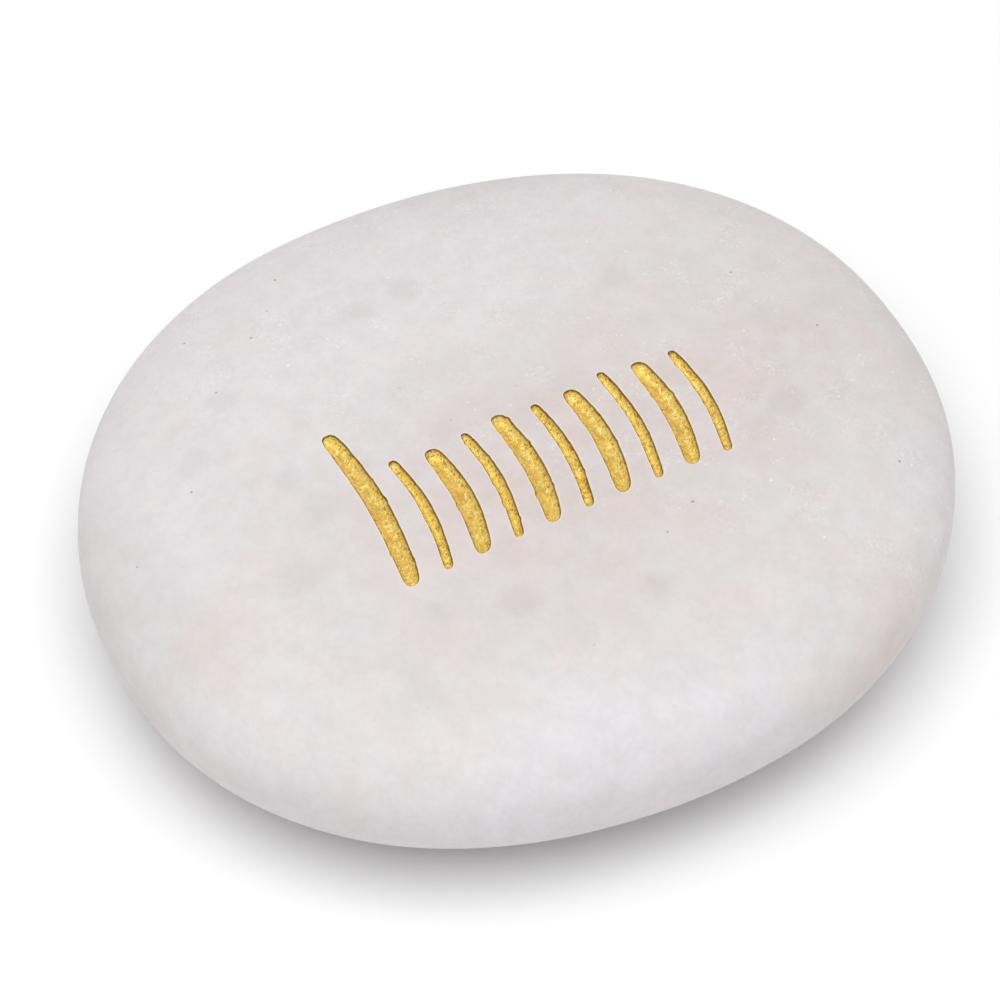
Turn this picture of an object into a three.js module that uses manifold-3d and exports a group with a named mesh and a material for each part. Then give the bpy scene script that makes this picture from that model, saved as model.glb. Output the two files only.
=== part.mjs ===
// An engraved worry stone: a tumbled oval pebble of white marble that fits the palm, with one row of
// shallow gouged strokes across its upper face and a small flat spot underneath.
//
// Millimetres, +Z up. The origin is on the ground under the middle of the stone. +X runs along the
// stone's length, which is also the way the row of strokes runs, and +Y is the way the strokes stand.

import * as THREE from 'three';
import { mergeVertices } from 'three/addons/utils/BufferGeometryUtils.js';
import Module from 'manifold-3d';

// Size of the pebble
const LENGTH = 60;
const WIDTH = 53.25;
const HEIGHT = 16;

// Roundness of the pebble: 2 is a true ellipse and more is squarer. The plan leans off a true oval
// by two small shares of its radius, because the stone was tumbled and not turned.
const PLAN_EXPONENT = 2.13;
const OVAL_LEAN = 0.0038;
const CORNER_LEAN = 0.0067;
const CROWN_EXPONENT = 2.6;
const BELLY_EXPONENT = 2.4;
const WAIST_HEIGHT = 0.53 * HEIGHT;

// The flat spot that the stone lies on, as long as this along X
const FLAT_LENGTH = 22;

// The row of strokes
const STROKE_COUNT = 10;
const ROW_START = -11.9;
const ROW_END = 11.7;
const ROW_FOOT = -8.4;
const STROKE_HEIGHT = 9.5;
const FIRST_STROKE_HEIGHT = 13.9;
const HEIGHT_CHANGE = 0.25;
const THICK_STROKE = 1.4;
const THIN_STROKE = 0.8;
const STROKE_LEAN = 0.9;
const STROKE_BOW = 0.55;
const GROOVE_DEPTH = 0.6;

// A stroke is broadest halfway up and narrower near its round ends by this share.
const END_NARROWING = 0.2;

// Fineness of the facets
const PLAN_SEGMENTS = 80;
const PEBBLE_RINGS = 36;
const STROKE_STATIONS = 16;

const MARBLE = { color: '#dedadb', roughness: 0.42, metalness: 0 };

const wasm = await Module();
wasm.setup();

// A closed geometry as a solid that can be cut.
function solidOf(geometry) {
  const bare = geometry.clone();
  bare.deleteAttribute('normal');
  bare.deleteAttribute('uv');
  const merged = mergeVertices(bare);
  return new wasm.Manifold(new wasm.Mesh({
    numProp: 3,
    vertProperties: new Float32Array(merged.attributes.position.array),
    triVerts: new Uint32Array(merged.index.array),
  }));
}

// A cut solid as a geometry again.
function geometryOf(solid) {
  const mesh = solid.getMesh();
  const geometry = new THREE.BufferGeometry();
  geometry.setAttribute('position', new THREE.BufferAttribute(mesh.vertProperties, 3));
  geometry.setIndex(new THREE.BufferAttribute(mesh.triVerts, 1));
  geometry.computeVertexNormals();
  return geometry;
}

// The plan's radius in one direction.
function planRadius(angle) {
  const along = Math.abs(2 * Math.cos(angle) / LENGTH) ** PLAN_EXPONENT;
  const across = Math.abs(2 * Math.sin(angle) / WIDTH) ** PLAN_EXPONENT;
  const lean = 1 + OVAL_LEAN * Math.sin(2 * angle) + CORNER_LEAN * Math.sin(4 * angle);
  return lean / (along + across) ** (1 / PLAN_EXPONENT);
}

// How far the belly would reach below the waist if the flat spot weren't worn into it.
function bellyDepth() {
  const share = FLAT_LENGTH / LENGTH;
  return WAIST_HEIGHT / (1 - share ** BELLY_EXPONENT) ** (1 / BELLY_EXPONENT);
}

// The whole pebble before it is worn flat: a sphere whose points are moved out to the stone's form.
function pebbleGeometry() {
  const geometry = new THREE.SphereGeometry(1, PLAN_SEGMENTS, PEBBLE_RINGS);
  geometry.rotateX(Math.PI / 2);
  const points = geometry.attributes.position;
  const crownHeight = HEIGHT - WAIST_HEIGHT;
  for (let i = 0; i < points.count; i += 1) {
    const rise = THREE.MathUtils.clamp(points.getZ(i), -1, 1);
    const reach = Math.sqrt(1 - rise * rise);
    const angle = Math.atan2(points.getY(i), points.getX(i));
    const crowned = rise >= 0;
    const power = 2 / (crowned ? CROWN_EXPONENT : BELLY_EXPONENT);
    const depth = crowned ? crownHeight : -bellyDepth();
    const radius = planRadius(angle) * reach ** power;
    const height = WAIST_HEIGHT + depth * Math.abs(rise) ** power;
    points.setXYZ(i, radius * Math.cos(angle), radius * Math.sin(angle), height);
  }
  return geometry;
}

// A block whose top is the ground, to wear the flat spot with.
function groundGeometry() {
  const geometry = new THREE.BoxGeometry(2 * LENGTH, 2 * LENGTH, HEIGHT);
  return geometry.translate(0, 0, -HEIGHT / 2);
}

// One stroke's outline: it bows to one side, swells halfway up and is round at both ends.
function strokeShape(height, width) {
  const bluntness = 2 * height / (width * (1 - END_NARROWING));
  const rightEdge = [];
  const leftEdge = [];
  for (let i = 0; i <= STROKE_STATIONS; i += 1) {
    const share = (1 - Math.cos(Math.PI * i / STROKE_STATIONS)) / 2;
    const swell = Math.sin(Math.PI * share);
    const roundness = Math.sqrt(1 - Math.abs(2 * share - 1) ** bluntness);
    const halfWidth = width / 2 * roundness * (1 - END_NARROWING * (1 - swell));
    const middle = STROKE_BOW * swell + STROKE_LEAN * (share - 0.5);
    rightEdge.push(new THREE.Vector2(middle + halfWidth, height * share));
    leftEdge.push(new THREE.Vector2(middle - halfWidth, height * share));
  }
  return new THREE.Shape([...rightEdge, ...leftEdge.slice(1, -1).reverse()]);
}

// The row: the first stroke is tall, thick and thin ones take turns, and their tops rise and fall.
function strokeGeometries() {
  const pitch = (ROW_END - ROW_START) / (STROKE_COUNT - 1);
  const strokes = [];
  for (let i = 0; i < STROKE_COUNT; i += 1) {
    const usual = STROKE_HEIGHT + HEIGHT_CHANGE * Math.sin(2 * i);
    const height = i === 0 ? FIRST_STROKE_HEIGHT : usual;
    const width = i % 2 === 0 ? THICK_STROKE : THIN_STROKE;
    const geometry = new THREE.ExtrudeGeometry(strokeShape(height, width), {
      depth: HEIGHT,
      bevelEnabled: false,
    });
    strokes.push(geometry.translate(ROW_START + pitch * i, ROW_FOOT, WAIST_HEIGHT));
  }
  return strokes;
}

// The stone: the pebble worn flat underneath, with each stroke cut to one depth all over.
function stoneGeometry() {
  const pebble = pebbleGeometry();
  const grooveFloor = solidOf(pebble.clone().translate(0, 0, -GROOVE_DEPTH));
  let stone = solidOf(pebble).subtract(solidOf(groundGeometry()));
  for (const stroke of strokeGeometries()) {
    stone = stone.subtract(solidOf(stroke).subtract(grooveFloor));
  }
  return geometryOf(stone);
}

const worryStone = new THREE.Group();
const stone = new THREE.Mesh(stoneGeometry(), new THREE.MeshStandardMaterial(MARBLE));
stone.name = 'stone';
worryStone.add(stone);

export default worryStone;
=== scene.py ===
"""The looks of the engraved worry stone: white marble, gilded strokes, a pale floor and soft light."""

import math

import bpy
import numpy as np
from bpy.props import FloatProperty, FloatVectorProperty, IntProperty, PointerProperty
from bpy.types import Operator, Panel, PropertyGroup
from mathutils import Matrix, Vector, noise
from mathutils.geometry import delaunay_2d_cdt


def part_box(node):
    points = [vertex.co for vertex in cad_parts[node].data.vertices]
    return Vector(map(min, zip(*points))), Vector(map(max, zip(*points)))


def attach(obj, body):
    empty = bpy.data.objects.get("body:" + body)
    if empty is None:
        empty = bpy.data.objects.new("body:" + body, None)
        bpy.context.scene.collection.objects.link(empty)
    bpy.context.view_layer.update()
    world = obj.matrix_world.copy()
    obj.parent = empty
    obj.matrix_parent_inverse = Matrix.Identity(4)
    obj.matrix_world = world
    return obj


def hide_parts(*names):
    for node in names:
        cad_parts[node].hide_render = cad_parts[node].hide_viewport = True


bl_info = {
    "name": "Engraved Worry Stone",
    "version": (1, 0, 0),
    "blender": (4, 5, 0),
    "location": "View3D > Sidebar > Worry Stone",
    "description": "Builds a marble worry stone with a row of gilded strokes, and its stage",
    "category": "Add Mesh",
}

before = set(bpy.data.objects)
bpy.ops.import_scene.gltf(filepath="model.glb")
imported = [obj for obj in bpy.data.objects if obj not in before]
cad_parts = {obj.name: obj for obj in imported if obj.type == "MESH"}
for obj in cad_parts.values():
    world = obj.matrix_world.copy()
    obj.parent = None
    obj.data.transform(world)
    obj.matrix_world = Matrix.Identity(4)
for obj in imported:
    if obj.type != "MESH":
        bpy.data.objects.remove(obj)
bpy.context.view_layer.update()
stone_low, stone_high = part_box("stone")

# Fineness of the stone's mesh
AROUND = 256
CROWN_RINGS = 30
BELLY_RINGS = 46
FLAT_RINGS = 5
PATCH_REACH = 0.62
GRID_STEP = 0.00045
STATION_STEP = 0.00009
COLUMNS = 26
EVEN_SHARE = 0.4

# Which finish a face of the stone has, in the order of its material slots
MARBLE, GOLD = 0, 1

MM = 0.001

# Where the marble's tone drifts: the middle and the reach along X and Y in millimetres, then the tone
DRIFTS = (
    (20, 4, 20, 22, "beige"),
    (-4, -15, 30, 10, "beige"),
    (2, -4, 34, 17, "heart"),
    # Partly painted light: the lilac drift is a real cool tint that also paints the lit front shoulder lighter.
    (-12, -25, 24, 7, "lilac"),
    (15, -25, 12, 8, "blush"),
    (-27, -4, 6, 5, "blush"),
    # Painted shade: the two grey drifts darken the steep left end and the back rim.
    (-31, 4, 7, 17, "painted_shade_grey"),
    (14, 27, 24, 9, "painted_shade_grey"),
)

# Round spots where the marble is clearer: the middle along X and Y and the radius in millimetres
CLEAR_SPOTS = (
    (-14.4, 0.3, 1.7),
    (-15.4, 3.5, 1.2),
    (-18.4, -3.8, 1.9),
    (-15.4, -15.2, 1.4),
    (-15.8, 12.2, 1.3),
    (-7.0, -12.9, 1.5),
    (-12.2, -11.2, 1.2),
    (-10.9, 2.4, 1.2),
    (-0.6, 14.8, 1.5),
    (-4.4, 14.5, 1.2),
    (-19.8, 8.6, 1.3),
    (1.6, -15.8, 1.3),
    (12.4, 8.6, 1.4),
    (16.9, -6.4, 1.5),
)

# Single dark grains on the crown, along X and Y in millimetres
SPECKS = (
    (-5.3, 6.7),
    (-3.7, 2.5),
    (-11.4, 16.4),
    (21.7, -13.1),
    (4.2, -12.5),
    (-21.0, 6.4),
    (-15.1, 19.2),
    (-4.3, -17.8),
    (-7.3, 20.9),
    (22.7, -0.8),
    (1.5, 3.0),
    (19.8, 5.8),
    (6.9, -11.1),
    (-9.3, 18.2),
    (-15.7, 13.2),
    (-26.5, 3.6),
)


def shade(code):
    """A colour written as red, green and blue in hexadecimal, as the linear numbers that light uses."""
    parts = [int(code[i:i + 2], 16) / 255 for i in (0, 2, 4)]
    return [p / 12.92 if p <= 0.04045 else ((p + 0.055) / 1.055) ** 2.4 for p in parts]


def length(name, description, default):
    """A size that a user may change, in metres."""
    return FloatProperty(
        name=name, description=description, default=default, unit="LENGTH", precision=5
    )


def number(name, description, default, low=0.0, high=100.0):
    """A plain number that a user may change."""
    return FloatProperty(
        name=name, description=description, default=default, min=low, max=high, precision=4
    )


def turn(name, description, degrees):
    """An angle that a user may change."""
    return FloatProperty(
        name=name, description=description, default=math.radians(degrees), subtype="ANGLE"
    )


def tint(name, description, code):
    """A colour that a user may change."""
    return FloatVectorProperty(
        name=name, description=description, default=shade(code), subtype="COLOR", min=0, max=1
    )


class PebbleSizes(PropertyGroup):
    """The size and roundness of the pebble."""

    length: length("Length", "From end to end", stone_high.x - stone_low.x)
    width: length("Width", "From side to side", stone_high.y - stone_low.y)
    height: length("Height", "From the ground to the top", stone_high.z - stone_low.z)
    plan_power: number("Plan roundness", "2 is an oval and more is squarer", 2.13, 1)
    crown_power: number("Crown roundness", "2 is a dome and more is squarer", 2.6, 1)
    belly_power: number("Belly roundness", "2 is a bowl and more is squarer", 2.4, 1)
    oval_lean: number("Oval lean", "How far the plan leans off its oval", 0.0038)
    corner_lean: number("Corner lean", "How far the plan's corners lean off its oval", 0.0067)
    waist_share: number("Waist", "The broadest level, as a share of the height", 0.53, 0, 1)
    flat_length: length("Flat spot", "How long the flat spot underneath is", 22 * MM)
    wear: length("Wear", "How softly the flat spot runs out into the belly", 0.15 * MM)
    ripple: length("Ripple", "How far tumbling left the surface off its true form", 0.07 * MM)
    long_wave: length("Long wave", "The distance between broad ripples", 17 * MM)
    short_wave: length("Short wave", "The distance between small ripples", 6 * MM)


class StrokeSizes(PropertyGroup):
    """The row of strokes cut into the crown."""

    count: IntProperty(name="Strokes", description="How many strokes the row has", default=10, min=2)
    row_start: length("Row start", "The middle of the first stroke along X", -11.9 * MM)
    row_end: length("Row end", "The middle of the last stroke along X", 11.7 * MM)
    row_foot: length("Row foot", "Where the strokes stand along Y", -8.4 * MM)
    first_height: length("First stroke", "How tall the first stroke is", 13.9 * MM)
    usual_height: length("Other strokes", "How tall the other strokes are", 9.5 * MM)
    height_change: length("Height change", "How far their tops rise and fall", 0.25 * MM)
    thick: length("Thick strokes", "How broad every other stroke is", 1.4 * MM)
    thin: length("Thin strokes", "How broad the strokes between them are", 0.8 * MM)
    lean: length("Lean", "How far a stroke's top stands past its foot", 0.9 * MM)
    bow: length("Bow", "How far a stroke bows to one side", 0.55 * MM)
    narrowing: number("Narrowing", "How much narrower a stroke is near its round ends", 0.2, 0, 0.9)
    depth: length("Depth", "How deep the cut is", 0.6 * MM)
    wall: length("Wall", "How far in from the edge the wall reaches the floor", 0.6 * MM)
    waver: length("Waver", "How unevenly the edges are cut", 0.035 * MM)
    grit: length("Grit", "How rough the walls are cut", 0.07 * MM)


class MarbleColours(PropertyGroup):
    """The colours in the marble."""

    white: tint("White", "The body of the stone", "e0dcde")
    heart: tint("Heart", "Its warmer heart", "d3c8c3")
    beige: tint("Beige", "Its faint beige drifts", "dad4d2")
    blush: tint("Blush", "Its faint pink drifts", "dcd1cd")
    # Partly painted light: a real cool tint, lighter than the white, that paints the lit front shoulder.
    lilac: tint("Lilac", "Its cooler front", "e4e0e5")
    # Painted shade: this grey darkens the steep rim and the belly, where shade falls.
    painted_shade_grey: tint("Grey", "Its duller rim and belly", "d3d0d0")
    rose: tint("Rose", "Faint pink blotches", "e3d8d6")
    mist: tint("Mist", "Faint blue blotches", "d8dbdf")
    wander: length("Wander", "How unevenly the drifts run out", 3 * MM)
    deep: tint("Deep", "Where it is clearest, and looks darker", "bdb2ae")
    # Painted highlights: white glints stand for crystals catching the light.
    glint: tint("Glint", "Crystals that catch the light", "ffffff")
    speck: tint("Speck", "Small dark grains", "6e6864")
    bruise: tint("Bruise", "Stone that the cutting bruised white", "eceae8")
    # Painted shadow: a dark line on the marble right at the lip of each cut, where the lip casts a thin shadow.
    painted_lip_shadow: tint("Stain", "The edge of a cut, where some paint crept over", "96703a")


class GoldColours(PropertyGroup):
    """The colours of the paint in the strokes."""

    amber: tint("Amber", "Where the paint lies thin on the floor", "e3b250")
    rich: tint("Rich", "The body of the paint", "f2cc6a")
    # Painted light: this brighter gold is laid on the groove's walls, where they catch the light.
    bright: tint("Bright", "Where the paint lies thick", "ffe07a")
    # Painted highlights: flecks of this pale gold stand for sparkle on the wall and in patches of the floor.
    glow: tint("Glow", "Flecks that catch the light", "fff09a")
    # Painted shade: this olive darkens small pits in the wall, where shade falls.
    pit_shade_olive: tint("Olive", "Small pits in the wall", "a47a2c")
    # Partly painted shade: the brown edge line is paint running thin, darkened further as painted shade where the
    # wall meets the lip.
    edge_brown_and_shade: tint("Brown", "Where the paint runs thin at the edges and in pits", "7a5518")


class StageSettings(PropertyGroup):
    """The floor, the lights and the camera."""

    floor: tint("Floor", "The colour of the floor", "f8f8f8")
    floor_size: length("Floor size", "How far the floor reaches", 4.0)
    azimuth: turn("Azimuth", "Where the camera stands around the stone", -29)
    elevation: turn("Elevation", "How far the camera stands above the stone", 50)
    distance: length("Distance", "From the camera to the stone", 372.7 * MM)
    lens: FloatProperty(name="Lens", description="Focal length of the camera", default=200, unit="CAMERA")
    aim_x: length("Aim along X", "Where the camera looks", -1.17 * MM)
    aim_y: length("Aim along Y", "Where the camera looks", 0.34 * MM)
    zenith: number("Zenith", "How bright the light from straight above is", 0.72)
    horizon: number("Horizon", "How bright the light from the sides is", 0.3)
    key: number("Key light", "How strong the soft light at the front is, in watts", 3.3)
    key_azimuth: turn("Key azimuth", "Where the key light stands around the stone", -40)
    key_elevation: turn("Key elevation", "How far the key light stands above the stone", 74)
    key_distance: length("Key distance", "From the key light to the stone", 0.7)
    key_size: length("Key size", "How large the key light is", 0.6)


def soft_step(value, low, high):
    """Rises from 0 at low to 1 at high without a corner."""
    share = np.clip((value - low) / (high - low), 0, 1)
    return share * share * (3 - 2 * share)


def rippled(points, wave, seed):
    """Smooth hills and hollows between about -1 and 1, one wave apart, at each point."""
    start = Vector((7.3 * seed, 3.1 * seed, 5.7 * seed))
    return np.array([noise.noise(Vector(point) / wave + start) for point in points])


class Pebble:
    """The pebble's surface as formulas."""

    def __init__(self, sizes):
        self.sizes = sizes
        self.waist = sizes.waist_share * sizes.height
        self.crown = sizes.height - self.waist
        flat_share = sizes.flat_length / sizes.length
        self.belly = self.waist / self.bend(flat_share, sizes.belly_power)

    @staticmethod
    def bend(reach, power):
        """How much of the crown's or belly's depth is left at a share of the way out."""
        return np.clip(1 - reach ** power, 0, 1) ** (1 / power)

    def plan_radius(self, angle):
        """The plan's radius in one direction."""
        s = self.sizes
        along = np.abs(2 * np.cos(angle) / s.length) ** s.plan_power
        across = np.abs(2 * np.sin(angle) / s.width) ** s.plan_power
        lean = 1 + s.oval_lean * np.sin(2 * angle) + s.corner_lean * np.sin(4 * angle)
        return lean / (along + across) ** (1 / s.plan_power)

    def on_crown(self, x, y):
        """The points of the upper surface over places in the plan."""
        reach = np.hypot(x, y) / self.plan_radius(np.arctan2(y, x))
        height = self.waist + self.crown * self.bend(reach, self.sizes.crown_power)
        return self.tumbled(np.stack([x, y, height], axis=-1))

    def ring(self, reach, height):
        """One level ring of points around the pebble."""
        angle = 2 * np.pi * np.arange(AROUND) / AROUND
        radius = self.plan_radius(angle) * reach
        level = np.full(AROUND, height)
        return self.tumbled(np.stack([radius * np.cos(angle), radius * np.sin(angle), level], axis=-1))

    def worn(self, height):
        """A height on the belly once the flat spot is worn into it."""
        wear = self.sizes.wear
        if height >= wear:
            return height
        return max(height + wear, 0) ** 2 / (4 * wear)

    def tumbled(self, points):
        """The same points, moved in and out a little, but not on the flat spot."""
        s = self.sizes
        middle = np.array([0, 0, self.waist])
        radii = np.array([s.length / 2, s.width / 2, s.height / 2])
        outward = (points - middle) / radii ** 2
        outward /= np.linalg.norm(outward, axis=-1, keepdims=True)
        broad = rippled(points, s.long_wave, 1)
        small = rippled(points, s.short_wave, 2)
        amount = s.ripple * (broad + 0.3 * small) * soft_step(points[:, 2], 0, 3 * MM)
        return points + outward * amount[:, None]


def marble_tones_and_shade(points, colours):
    """The marble's drifting tone at each point, with painted shade that greys the steep left end, the back rim
    and the belly.
    """
    tones = np.tile(np.array(colours.white), (len(points), 1))
    uneven = np.stack([rippled(points, 9 * MM, seed) for seed in (90, 91)], axis=-1)
    places = (points[:, :2] + colours.wander * uneven) / MM
    for x, y, reach_x, reach_y, name in DRIFTS:
        far = np.hypot((places[:, 0] - x) / reach_x, (places[:, 1] - y) / reach_y)
        share = 1 - soft_step(far, 0, 1)
        tones += share[:, None] * (np.array(getattr(colours, name)) - tones)
    # Painted shade: the marble turns greyer towards the bottom of the belly.
    low = 0.8 * (1 - soft_step(points[:, 2], 2 * MM, 11 * MM))
    tones += low[:, None] * (np.array(colours.painted_shade_grey) - tones)
    return np.hstack([tones, np.ones((len(points), 1))])


def clearness(points, waist):
    """How clear the marble is at each point, from 0 to 1."""
    uneven = np.stack([rippled(points, 1.6 * MM, seed) for seed in (92, 93)], axis=-1)
    places = points[:, :2] / MM + 0.4 * uneven
    clear = np.zeros(len(points))
    for x, y, radius in CLEAR_SPOTS:
        far = np.hypot(places[:, 0] - x, places[:, 1] - y) / radius
        clear = np.maximum(clear, 1 - soft_step(far, 0.5, 1.1))
    return clear * (points[:, 2] > waist)


def liveliness(points):
    """How much the marble's crystals catch the light at each point: more to the back and the right."""
    return soft_step(points[:, 0] + 0.9 * points[:, 1], -12 * MM, 1 * MM)


class Skin:
    """Collects the points and faces of one closed mesh."""

    def __init__(self):
        self.points = []
        self.rims = []
        self.walls = []
        self.faces = []
        self.finishes = []

    def add_points(self, points, rim=0.0, wall=0.0):
        """Adds points and returns their numbers. rim and wall say how near a cut's edge and wall each is."""
        first = len(self.points)
        self.points.extend(map(tuple, points))
        self.rims.extend(np.broadcast_to(rim, len(points)))
        self.walls.extend(np.broadcast_to(wall, len(points)))
        return np.arange(first, len(self.points))

    def add_face(self, face, finish=MARBLE):
        self.faces.append([int(corner) for corner in face])
        self.finishes.append(finish)

    def add_band(self, inner, outer, finish=MARBLE):
        """Joins two closed loops of as many points each, the second outside or below the first."""
        count = len(inner)
        for i in range(count):
            j = (i + 1) % count
            self.add_face((inner[i], outer[i], outer[j], inner[j]), finish)

    def as_object(self, name, materials, shares, tones):
        """Makes the object. shares holds more numbers from 0 to 1 for its points, each under a label."""
        mesh = bpy.data.meshes.new(name)
        mesh.from_pydata(self.points, [], self.faces)
        mesh.polygons.foreach_set("material_index", self.finishes)
        mesh.polygons.foreach_set("use_smooth", [True] * len(self.faces))
        for label, values in {"rim": self.rims, "wall": self.walls, **shares}.items():
            mesh.attributes.new(label, "FLOAT", "POINT").data.foreach_set("value", values)
        tone = mesh.attributes.new("tone", "FLOAT_COLOR", "POINT")
        tone.data.foreach_set("color", tones.ravel())
        for material in materials:
            mesh.materials.append(material)
        mesh.update()
        made = bpy.data.objects.new(name, mesh)
        bpy.context.scene.collection.objects.link(made)
        return made


class Stroke:
    """One stroke of the row: its place, its outline and how deep it is cut."""

    def __init__(self, cut, number):
        self.cut = cut
        self.number = number
        self.x = cut.row_start + (cut.row_end - cut.row_start) * number / (cut.count - 1)
        usual = cut.usual_height + cut.height_change * math.sin(2 * number)
        self.height = cut.first_height if number == 0 else usual
        self.width = cut.thick if number % 2 == 0 else cut.thin

    def middle(self, share):
        """The middle line's x at a share of the way up."""
        cut = self.cut
        return self.x + cut.bow * np.sin(np.pi * share) + cut.lean * (share - 0.5)

    def half_width(self, share):
        """Half the stroke's true breadth at a share of the way up."""
        narrowing = self.cut.narrowing
        bluntness = 2 * self.height / (self.width * (1 - narrowing))
        roundness = np.sqrt(1 - np.abs(2 * share - 1) ** bluntness)
        return self.width / 2 * roundness * (1 - narrowing * (1 - np.sin(np.pi * share)))

    def cut_edge(self, share, side):
        """The uneven edge that the cutting left, as a distance from the middle line."""
        cut = self.cut
        true = self.half_width(share)
        line = np.stack([share * self.height, np.full_like(share, side), np.full_like(share, 0)], axis=-1)
        line[:, 1] *= MM
        seed = 3 + self.number
        uneven = rippled(line, 1.3 * MM, seed) + 0.6 * rippled(line, 0.45 * MM, seed + 20)
        nibble = soft_step(rippled(line, 0.8 * MM, seed + 40), 0.35, 0.6)
        held = np.clip(true / (0.3 * self.width), 0, 1)
        return true + cut.waver * (uneven + 2 * nibble) * held

    def covers(self, x, y, margin):
        """Which places lie in the stroke or within a margin of it."""
        share = (y - self.cut.row_foot) / self.height
        inside = np.clip(share, 0, 1)
        beyond = np.abs(share - inside) * self.height
        sideways = np.abs(x - self.middle(inside)) - self.half_width(inside)
        return (beyond < margin) & (sideways < margin)

    def carve(self, pebble, skin):
        """Adds the groove and a narrow apron around it, and returns the apron's outer loop."""
        steps = round(self.height / STATION_STEP)
        even = np.arange(steps + 1) / steps
        share = EVEN_SHARE * even + (1 - EVEN_SHARE) * (1 - np.cos(np.pi * even)) / 2
        inner = share[1:-1]
        right, left = self.cut_edge(inner, 1), self.cut_edge(inner, -1)
        across = np.linspace(-1, 1, COLUMNS + 1)
        spread = np.where(across > 0, right[:, None], left[:, None])
        x = self.middle(inner)[:, None] + spread * across
        y = np.repeat(self.cut.row_foot + self.height * inner[:, None], COLUMNS + 1, axis=1)
        to_end = self.height * np.minimum(inner, 1 - inner)
        inset = np.minimum((1 - np.abs(across)) * spread, to_end[:, None])
        rows = self.sink(pebble, skin, x.ravel(), y.ravel(), inset.ravel()).reshape(x.shape)
        ends = np.array([0.0, 1.0])
        foot, tip = self.sink(
            pebble, skin, self.middle(ends), self.cut.row_foot + self.height * ends, np.zeros(2)
        )
        self.floor_faces(skin, rows, foot, tip)
        loop = np.concatenate([[foot], rows[:, -1], [tip], rows[::-1, 0]])
        return self.apron(pebble, skin, loop)

    def sink(self, pebble, skin, x, y, inset):
        """Adds points of the groove at a distance in from its edge."""
        cut = self.cut
        steep = np.clip(1 - inset / cut.wall, 0, 1)
        flat = np.stack([x, y, np.zeros_like(x)], axis=-1)
        seed = 60 + self.number
        on_wall = soft_step(inset, 0, 0.08 * MM) * (0.25 + 0.75 * np.sqrt(steep))
        grit = cut.grit * on_wall * rippled(flat, 0.24 * MM, seed)
        pushed = cut.grit * on_wall * rippled(flat, 0.28 * MM, seed + 20)
        wavy_floor = 0.5 * cut.grit * (1 - steep) * rippled(flat, 1.1 * MM, seed + 40)
        points = pebble.on_crown(x + pushed, y)
        points[:, 2] -= cut.depth * (1 - steep ** 2.2) + grit + wavy_floor
        rim = np.exp(-inset / (0.08 * MM))
        return skin.add_points(points, rim, np.sqrt(steep))

    @staticmethod
    def floor_faces(skin, rows, foot, tip):
        for lower, upper in zip(rows[:-1], rows[1:]):
            for j in range(COLUMNS):
                skin.add_face((lower[j], lower[j + 1], upper[j + 1], upper[j]), GOLD)
        for j in range(COLUMNS):
            skin.add_face((foot, rows[0][j + 1], rows[0][j]), GOLD)
            skin.add_face((tip, rows[-1][j], rows[-1][j + 1]), GOLD)

    @staticmethod
    def apron(pebble, skin, loop):
        """Bands of stone around the groove, so that its worn lip shades cleanly."""
        edge = np.array([skin.points[i][:2] for i in loop])
        along = np.roll(edge, -1, axis=0) - np.roll(edge, 1, axis=0)
        outward = np.stack([along[:, 1], -along[:, 0]], axis=-1)
        outward /= np.linalg.norm(outward, axis=-1, keepdims=True)
        for offset in (0.05 * MM, 0.13 * MM, 0.28 * MM):
            place = edge + outward * offset
            points = pebble.on_crown(place[:, 0], place[:, 1])
            points[:, 2] -= 0.01 * MM * math.exp(-offset / (0.05 * MM))
            ring = skin.add_points(points, math.exp(-offset / (0.06 * MM)))
            skin.add_band(loop, ring)
            loop = ring
        return loop


def crown_patch(pebble, skin, strokes, aprons, rim):
    """Fills the middle of the crown between its first ring and the aprons of the strokes."""
    reach = PATCH_REACH - GRID_STEP / pebble.sizes.length
    x, y = grid_places(pebble, reach)
    free = np.ones(len(x), bool)
    for stroke in strokes:
        free &= ~stroke.covers(x, y, 0.5 * MM)
    grid = skin.add_points(pebble.on_crown(x[free], y[free]))
    numbers = np.concatenate([rim, *aprons, grid])
    places = [Vector(skin.points[i][:2]) / MM for i in numbers]
    loops = []
    first = 0
    for loop in (rim, *aprons):
        loops.append(range(first, first + len(loop)))
        first += len(loop)
    found, _, faces, sources, _, lies_in = delaunay_2d_cdt(places, [], loops, 1, 1e-6)
    if len(found) != len(places):
        raise RuntimeError("the strokes or their edges cross each other")
    for face, within in zip(faces, lies_in):
        if within == [0]:
            skin.add_face([numbers[sources[corner][0]] for corner in face])


def grid_places(pebble, reach):
    """Places in a grid of even triangles over the middle of the crown."""
    half = pebble.sizes.length / 2 * reach
    row_step = GRID_STEP * math.sqrt(3) / 2
    rows = np.arange(-half, half, row_step)
    columns = np.arange(-half, half, GRID_STEP)
    x = columns[None, :] + GRID_STEP / 2 * (np.arange(len(rows)) % 2)[:, None]
    y = np.repeat(rows[:, None], len(columns), axis=1)
    x, y = x.ravel(), y.ravel()
    inside = np.hypot(x, y) < reach * pebble.plan_radius(np.arctan2(y, x)) - GRID_STEP / 2
    return x[inside], y[inside]


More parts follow.
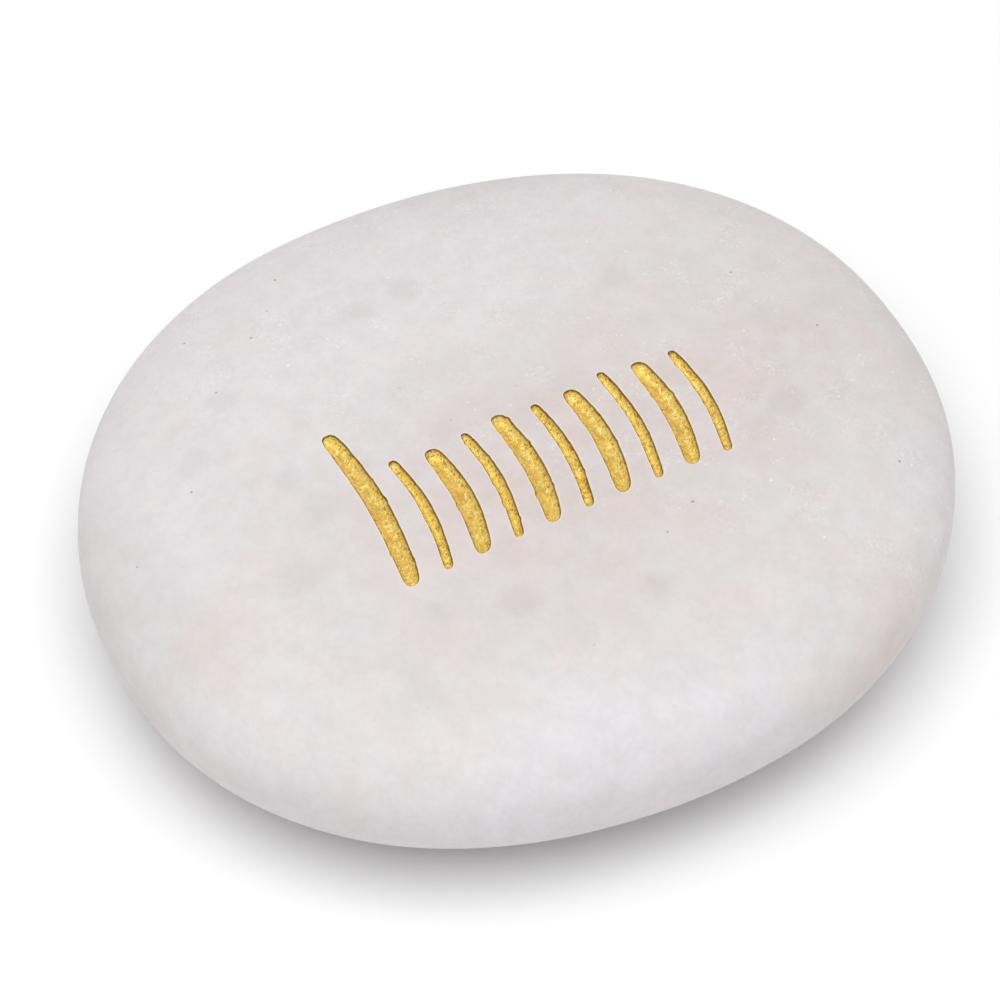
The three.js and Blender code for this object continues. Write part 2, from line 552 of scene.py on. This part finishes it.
def outer_rings(pebble):
    """The rings from the crown's middle patch over the waist to the flat spot, as reach and height."""
    s = pebble.sizes
    start = math.acos(PATCH_REACH ** (s.crown_power / 2))
    rings = []
    for i in range(CROWN_RINGS):
        rise = start * (1 - i / CROWN_RINGS)
        reach = math.cos(rise) ** (2 / s.crown_power)
        rings.append((reach, pebble.waist + pebble.crown * math.sin(rise) ** (2 / s.crown_power)))
    flat_reach = 0.8 * s.flat_length / s.length
    end = math.acos(flat_reach ** (s.belly_power / 2))
    for i in range(BELLY_RINGS + 1):
        drop = end * i / BELLY_RINGS
        height = pebble.waist - pebble.belly * math.sin(drop) ** (2 / s.belly_power)
        rings.append((math.cos(drop) ** (2 / s.belly_power), pebble.worn(height)))
    for i in range(1, FLAT_RINGS):
        rings.append((flat_reach * (1 - i / FLAT_RINGS), 0.0))
    return rings


class Bench:
    """Lays out the nodes of one node tree."""

    def __init__(self, tree):
        self.tree = tree
        tree.nodes.clear()
        self.place = self.node("ShaderNodeTexCoord").outputs["Object"]

    def node(self, kind, inputs=None, **settings):
        made = self.tree.nodes.new(kind)
        for name, value in settings.items():
            setattr(made, name, value)
        for name, value in (inputs or {}).items():
            self.feed(made.inputs[name], value)
        return made

    def feed(self, socket, value):
        """Joins a socket to another node, or sets its plain value."""
        if isinstance(value, bpy.types.NodeSocket):
            self.tree.links.new(value, socket)
        elif hasattr(value, "__len__") and socket.type == "RGBA":
            socket.default_value = (*value, 1)
        else:
            socket.default_value = value

    def cloud(self, wave, detail=2.0, roughness=0.5, distortion=0.0, place=None):
        """Soft noise from 0 to 1 with its hills about one wave apart."""
        return self.node(
            "ShaderNodeTexNoise",
            {
                "Vector": place or self.place,
                "Scale": 1 / wave,
                "Detail": detail,
                "Roughness": roughness,
                "Distortion": distortion,
            },
        ).outputs["Fac"]

    def grains(self, size, place=None):
        """Grains about this far apart, as the node that gives their distance and colour."""
        return self.node("ShaderNodeTexVoronoi", {"Vector": place or self.place, "Scale": 1 / size})

    def between(self, value, low, high, to_low=0.0, to_high=1.0):
        """Spreads the part of a value between low and high over another range, softly."""
        return self.node(
            "ShaderNodeMapRange",
            {"Value": value, "From Min": low, "From Max": high, "To Min": to_low, "To Max": to_high},
            interpolation_type="SMOOTHSTEP",
        ).outputs["Result"]

    def sum(self, operation, first, second):
        return self.node(
            "ShaderNodeMath", {0: first, 1: second}, operation=operation, use_clamp=True
        ).outputs[0]

    def blend(self, share, below, above, blend_type="MIX"):
        """Lays one colour over another by a share."""
        made = self.node("ShaderNodeMix", data_type="RGBA", blend_type=blend_type)
        self.feed(made.inputs[0], share)
        self.feed(made.inputs[6], below)
        self.feed(made.inputs[7], above)
        return made.outputs[2]

    def kept(self, label):
        """A number that the mesh keeps at each point."""
        return self.node("ShaderNodeAttribute", attribute_name=label).outputs["Fac"]

    def picked(self, grains, share):
        """Between 0 and 1 on the share of grains that chance picks, and 0 on the rest."""
        chance = self.node("ShaderNodeSeparateColor", {"Color": grains.outputs["Color"]})
        chosen = self.sum("LESS_THAN", chance.outputs["Red"], share)
        return self.sum("MULTIPLY", chosen, chance.outputs["Blue"])

    def bump(self, height, depth, below=None):
        inputs = {"Height": height, "Distance": depth, "Strength": 1.0}
        if below is not None:
            inputs["Normal"] = below
        return self.node("ShaderNodeBump", inputs).outputs["Normal"]

    def surface(self, inputs):
        shader = self.node("ShaderNodeBsdfPrincipled", inputs)
        output = self.node("ShaderNodeOutputMaterial")
        self.feed(output.inputs["Surface"], shader.outputs["BSDF"])


def new_material(name):
    """A material with an empty node tree, and the bench to lay out its nodes on."""
    material = bpy.data.materials.new(name)
    material.use_nodes = True
    return material, Bench(material.node_tree)


def dots(bench, size, radius, share, place=None):
    """Small round dots, some stronger than others: one in each picked grain, this large."""
    grains = bench.grains(size, place)
    near = bench.between(grains.outputs["Distance"], 0.5 * radius / size, radius / size, 1, 0)
    return bench.sum("MULTIPLY", near, bench.picked(grains, share))


def stretched(bench, along, turned):
    """The surface's coordinates, drawn out along one direction in the plan."""
    return bench.node(
        "ShaderNodeMapping",
        {"Vector": bench.place, "Rotation": (0, 0, turned), "Scale": (along, 1, 1)},
        vector_type="TEXTURE",
    ).outputs["Vector"]


def nearest(bench, places):
    """How far it is to the nearest of some places."""
    least = None
    for place in places:
        away = bench.node("ShaderNodeVectorMath", {0: bench.place, 1: place}, operation="DISTANCE")
        far = away.outputs["Value"]
        least = far if least is None else bench.sum("MINIMUM", least, far)
    return least


def marble_finish(colours, specks):
    """White marble: drifting tones with painted shade, soft mottles, clear spots, sugary grains, painted glints,
    a painted shadow at the lips of the cuts and dark specks.
    """
    material, b = new_material("white_marble")
    tone = b.node("ShaderNodeAttribute", attribute_name="tone").outputs["Color"]
    tone = b.blend(b.between(b.cloud(3 * MM, 4, 0.6), 0.35, 0.7, 0.0, 0.35), tone, colours.rose)
    tone = b.blend(b.between(b.cloud(3.4 * MM, 4, 0.6), 0.35, 0.7, 0.0, 0.35), tone, colours.mist)
    mottle = b.between(b.cloud(1.9 * MM, 3, 0.6), 0.3, 0.7, 0.0, 0.16)
    tone = b.blend(mottle, tone, colours.deep)
    tone = b.blend(b.sum("MULTIPLY", b.kept("clear"), 0.2), tone, colours.deep)
    grains = b.grains(0.33 * MM)
    sugar = b.node("ShaderNodeSeparateColor", {"Color": grains.outputs["Color"]}).outputs["Green"]
    tone = b.blend(b.between(sugar, 0, 1, 0.0, 0.08), tone, colours.deep)
    # Painted highlights: feathery white glints in clusters, more to the back and the right.
    cluster = b.between(b.cloud(2.2 * MM, 2), 0.48, 0.64)
    lively = b.sum("MULTIPLY", cluster, b.kept("lively"))
    feathers = b.cloud(0.24 * MM, 3, 0.7)
    shine = b.sum("MULTIPLY", b.between(feathers, 0.52, 0.74, 0.0, 0.4), lively)
    tone = b.blend(shine, tone, colours.glint)
    grit = b.sum("MULTIPLY", b.between(feathers, 0.45, 0.3, 0.0, 0.1), lively)
    tone = b.blend(grit, tone, colours.speck)
    # Painted highlights: single white glint dots.
    glints = b.sum("MULTIPLY", dots(b, 1.1 * MM, 0.12 * MM, 0.4), b.kept("lively"))
    tone = b.blend(b.sum("MULTIPLY", glints, 0.6), tone, colours.glint)
    dark = b.between(nearest(b, specks), 0.05 * MM, 0.13 * MM, 1.0, 0.0)
    faint = b.between(b.cloud(6 * MM, 0), 0.35, 0.65, 0.2, 0.6)
    tone = b.blend(b.sum("MULTIPLY", dark, faint), tone, colours.speck)
    tone = b.blend(b.between(b.kept("rim"), 0.05, 0.5, 0.0, 0.5), tone, colours.bruise)
    # Painted shadow: the marble darkens to a brown line right at the lip of each cut.
    tone = b.blend(b.between(b.kept("rim"), 0.55, 0.95), tone, colours.painted_lip_shadow)
    rough = b.between(b.cloud(3.5 * MM, 3), 0.3, 0.7, 0.38, 0.5)
    skin = b.bump(b.cloud(0.5 * MM, 2), 0.02 * MM)
    b.surface(
        {
            "Base Color": tone,
            "Roughness": rough,
            "Normal": skin,
            "IOR": 1.5,
            "Specular IOR Level": 0.15,
            "Subsurface Weight": 0.35,
            "Subsurface Radius": (1.0, 0.85, 0.7),
            "Subsurface Scale": 1.2 * MM,
        }
    )
    return material


def gold_finish(colours):
    """Gold paint in a rough cut: smooth on the floor; grainy on the wall, with painted light, painted glints and
    painted shade in its pits; a brown edge that is partly painted shade.
    """
    material, b = new_material("gold_paint")
    streaks = b.cloud(0.7 * MM, 3, 0.6, 0, stretched(b, 2.5, 1.7))
    tone = b.blend(b.between(streaks, 0.38, 0.62), colours.amber, colours.rich)
    # Painted light: the walls of the groove are painted brighter, where they catch the light.
    painted_wall_light = b.between(b.kept("wall"), 0.3, 0.65)
    tone = b.blend(b.sum("MULTIPLY", painted_wall_light, 0.8), tone, colours.bright)
    wall = b.between(b.kept("wall"), 0.45, 0.8)
    patches = b.sum("MAXIMUM", painted_wall_light, b.between(b.cloud(0.9 * MM, 2), 0.45, 0.62, 0.2, 1.0))
    # Painted highlights: pale flecks of glow, strongest on the walls.
    flecks = b.between(b.cloud(0.22 * MM, 2, 0.6), 0.44, 0.58)
    tone = b.blend(b.sum("MULTIPLY", flecks, patches), tone, colours.glow)
    # Painted shade: dark olive in small pits on the wall.
    pits = b.between(b.cloud(0.2 * MM, 1, 0.5), 0.46, 0.34)
    tone = b.blend(b.sum("MULTIPLY", b.sum("MULTIPLY", pits, wall), 0.7), tone, colours.pit_shade_olive)
    # Partly painted shade: the gold turns brown towards the edge, as thin paint and as painted shade at the lip.
    edge = b.between(b.kept("rim"), 0.2, 0.65)
    tone = b.blend(b.sum("MULTIPLY", edge, 0.85), tone, colours.edge_brown_and_shade)
    rough = b.between(b.cloud(0.4 * MM, 3), 0.3, 0.7, 0.25, 0.42)
    grain = b.sum("MULTIPLY", b.cloud(0.15 * MM, 2, 0.6), b.between(b.kept("wall"), 0.2, 0.7, 0.35, 1))
    skin = b.bump(grain, 0.1 * MM)
    b.surface({"Base Color": tone, "Roughness": rough, "Normal": skin, "Metallic": 0.6})
    return material


def floor_finish(colour):
    """A plain pale floor."""
    material, b = new_material("pale_floor")
    tone = b.blend(b.between(b.cloud(0.3, 2), 0.3, 0.7, 0.0, 0.02), colour, (0.8, 0.8, 0.8))
    b.surface({"Base Color": tone, "Roughness": 0.9, "Specular IOR Level": 0.1})
    return material


class CarveStone(Operator):
    """Builds the marble pebble with its row of gilded strokes"""

    bl_idname = "worry_stone.carve_stone"
    bl_label = "Carve the stone"

    def execute(self, context):
        settings = context.scene.worry_stone
        pebble = Pebble(settings.pebble)
        strokes = [Stroke(settings.strokes, i) for i in range(settings.strokes.count)]
        skin = Skin()
        aprons = [stroke.carve(pebble, skin) for stroke in strokes]
        rings = [skin.add_points(pebble.ring(*ring)) for ring in outer_rings(pebble)]
        crown_patch(pebble, skin, strokes, aprons, rings[0])
        for upper, lower in zip(rings[:-1], rings[1:]):
            skin.add_band(upper, lower)
        (centre,) = skin.add_points([(0.0, 0.0, 0.0)])
        for i in range(AROUND):
            skin.add_face((rings[-1][i], centre, rings[-1][(i + 1) % AROUND]))
        points = np.array(skin.points)
        shares = {"clear": clearness(points, pebble.waist), "lively": liveliness(points)}
        tones = marble_tones_and_shade(points, settings.marble)
        specks = pebble.on_crown(*(np.array(SPECKS).T * MM))
        finishes = [marble_finish(settings.marble, specks), gold_finish(settings.gold)]
        stone = skin.as_object("engraved_stone", finishes, shares, tones)
        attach(stone, "root")
        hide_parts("stone")
        return {"FINISHED"}


def soft_light(name, place, aim, size, power):
    """A large square light that faces a point."""
    data = bpy.data.lights.new(name, "AREA")
    data.size = size
    data.energy = power
    lamp = bpy.data.objects.new(name, data)
    lamp.location = place
    lamp.rotation_euler = (aim - place).to_track_quat("-Z", "Y").to_euler()
    bpy.context.scene.collection.objects.link(lamp)


def direction(azimuth, elevation):
    """The way from the stone to something that stands around it; azimuth 0 is at its front."""
    flat = math.cos(elevation)
    return Vector((math.sin(azimuth) * flat, -math.cos(azimuth) * flat, math.sin(elevation)))


class SetStage(Operator):
    """Lays the pale floor and sets up the soft lights and the camera"""

    bl_idname = "worry_stone.set_stage"
    bl_label = "Set the stage"

    def execute(self, context):
        stage = context.scene.worry_stone.stage
        pebble = context.scene.worry_stone.pebble
        aim = Vector((stage.aim_x, stage.aim_y, pebble.waist_share * pebble.height))
        self.lay_floor(stage)
        self.light_room(context.scene, stage, aim)
        self.place_camera(context.scene, stage, aim)
        return {"FINISHED"}

    @staticmethod
    def lay_floor(stage):
        half = stage.floor_size / 2
        corners = [(-half, -half, 0), (half, -half, 0), (half, half, 0), (-half, half, 0)]
        mesh = bpy.data.meshes.new("floor")
        mesh.from_pydata(corners, [], [(0, 1, 2, 3)])
        mesh.materials.append(floor_finish(stage.floor))
        floor = bpy.data.objects.new("floor", mesh)
        bpy.context.scene.collection.objects.link(floor)

    @staticmethod
    def light_room(scene, stage, aim):
        scene.world = bpy.data.worlds.new("pale_room")
        scene.world.use_nodes = True
        room = Bench(scene.world.node_tree)
        way = room.node("ShaderNodeSeparateXYZ", {"Vector": room.node("ShaderNodeTexCoord").outputs["Generated"]})
        strength = room.node(
            "ShaderNodeMapRange",
            {"Value": way.outputs["Z"], "To Min": stage.horizon, "To Max": stage.zenith},
        ).outputs["Result"]
        light = room.node("ShaderNodeBackground", {"Color": (1, 1, 1), "Strength": strength})
        room.feed(room.node("ShaderNodeOutputWorld").inputs["Surface"], light.outputs["Background"])
        place = aim + direction(stage.key_azimuth, stage.key_elevation) * stage.key_distance
        soft_light("key", place, aim, stage.key_size, stage.key)
        scene.view_settings.view_transform = "Standard"

    @staticmethod
    def place_camera(scene, stage, aim):
        data = bpy.data.cameras.new("camera")
        data.lens = stage.lens
        data.clip_start = 0.01
        data.clip_end = 10
        camera = bpy.data.objects.new("camera", data)
        way = direction(stage.azimuth, stage.elevation)
        camera.location = aim + way * stage.distance
        camera.rotation_euler = way.to_track_quat("Z", "Y").to_euler()
        scene.collection.objects.link(camera)
        scene.camera = camera


class WorryStoneSettings(PropertyGroup):
    """Everything about the stone and its stage that a user may change."""

    pebble: PointerProperty(type=PebbleSizes, name="Pebble", description="Size of the pebble")
    strokes: PointerProperty(type=StrokeSizes, name="Strokes", description="The row of strokes")
    marble: PointerProperty(type=MarbleColours, name="Marble", description="Colours of the marble")
    gold: PointerProperty(type=GoldColours, name="Gold", description="Colours of the gold paint")
    stage: PointerProperty(type=StageSettings, name="Stage", description="Floor, lights and camera")


class WorryStonePanel(Panel):
    """Lists the steps that build the stone, with the sizes and colours they use"""

    bl_idname = "VIEW3D_PT_worry_stone"
    bl_label = "Engraved Worry Stone"
    bl_space_type = "VIEW_3D"
    bl_region_type = "UI"
    bl_category = "Worry Stone"

    def draw(self, context):
        settings = context.scene.worry_stone
        steps = {CarveStone: ("pebble", "strokes", "marble", "gold"), SetStage: ("stage",)}
        for step, groups in steps.items():
            box = self.layout.box()
            box.operator(step.bl_idname)
            for name in groups:
                group = getattr(settings, name)
                for entry in group.__annotations__:
                    box.prop(group, entry)


CLASSES = (
    PebbleSizes,
    StrokeSizes,
    MarbleColours,
    GoldColours,
    StageSettings,
    WorryStoneSettings,
    CarveStone,
    SetStage,
    WorryStonePanel,
)


def register():
    for cls in CLASSES:
        bpy.utils.register_class(cls)
    bpy.types.Scene.worry_stone = PointerProperty(type=WorryStoneSettings)


def unregister():
    del bpy.types.Scene.worry_stone
    for cls in reversed(CLASSES):
        bpy.utils.unregister_class(cls)


def main():
    register()
    bpy.ops.worry_stone.carve_stone()
    bpy.ops.worry_stone.set_stage()


if __name__ == "__main__":
    main()
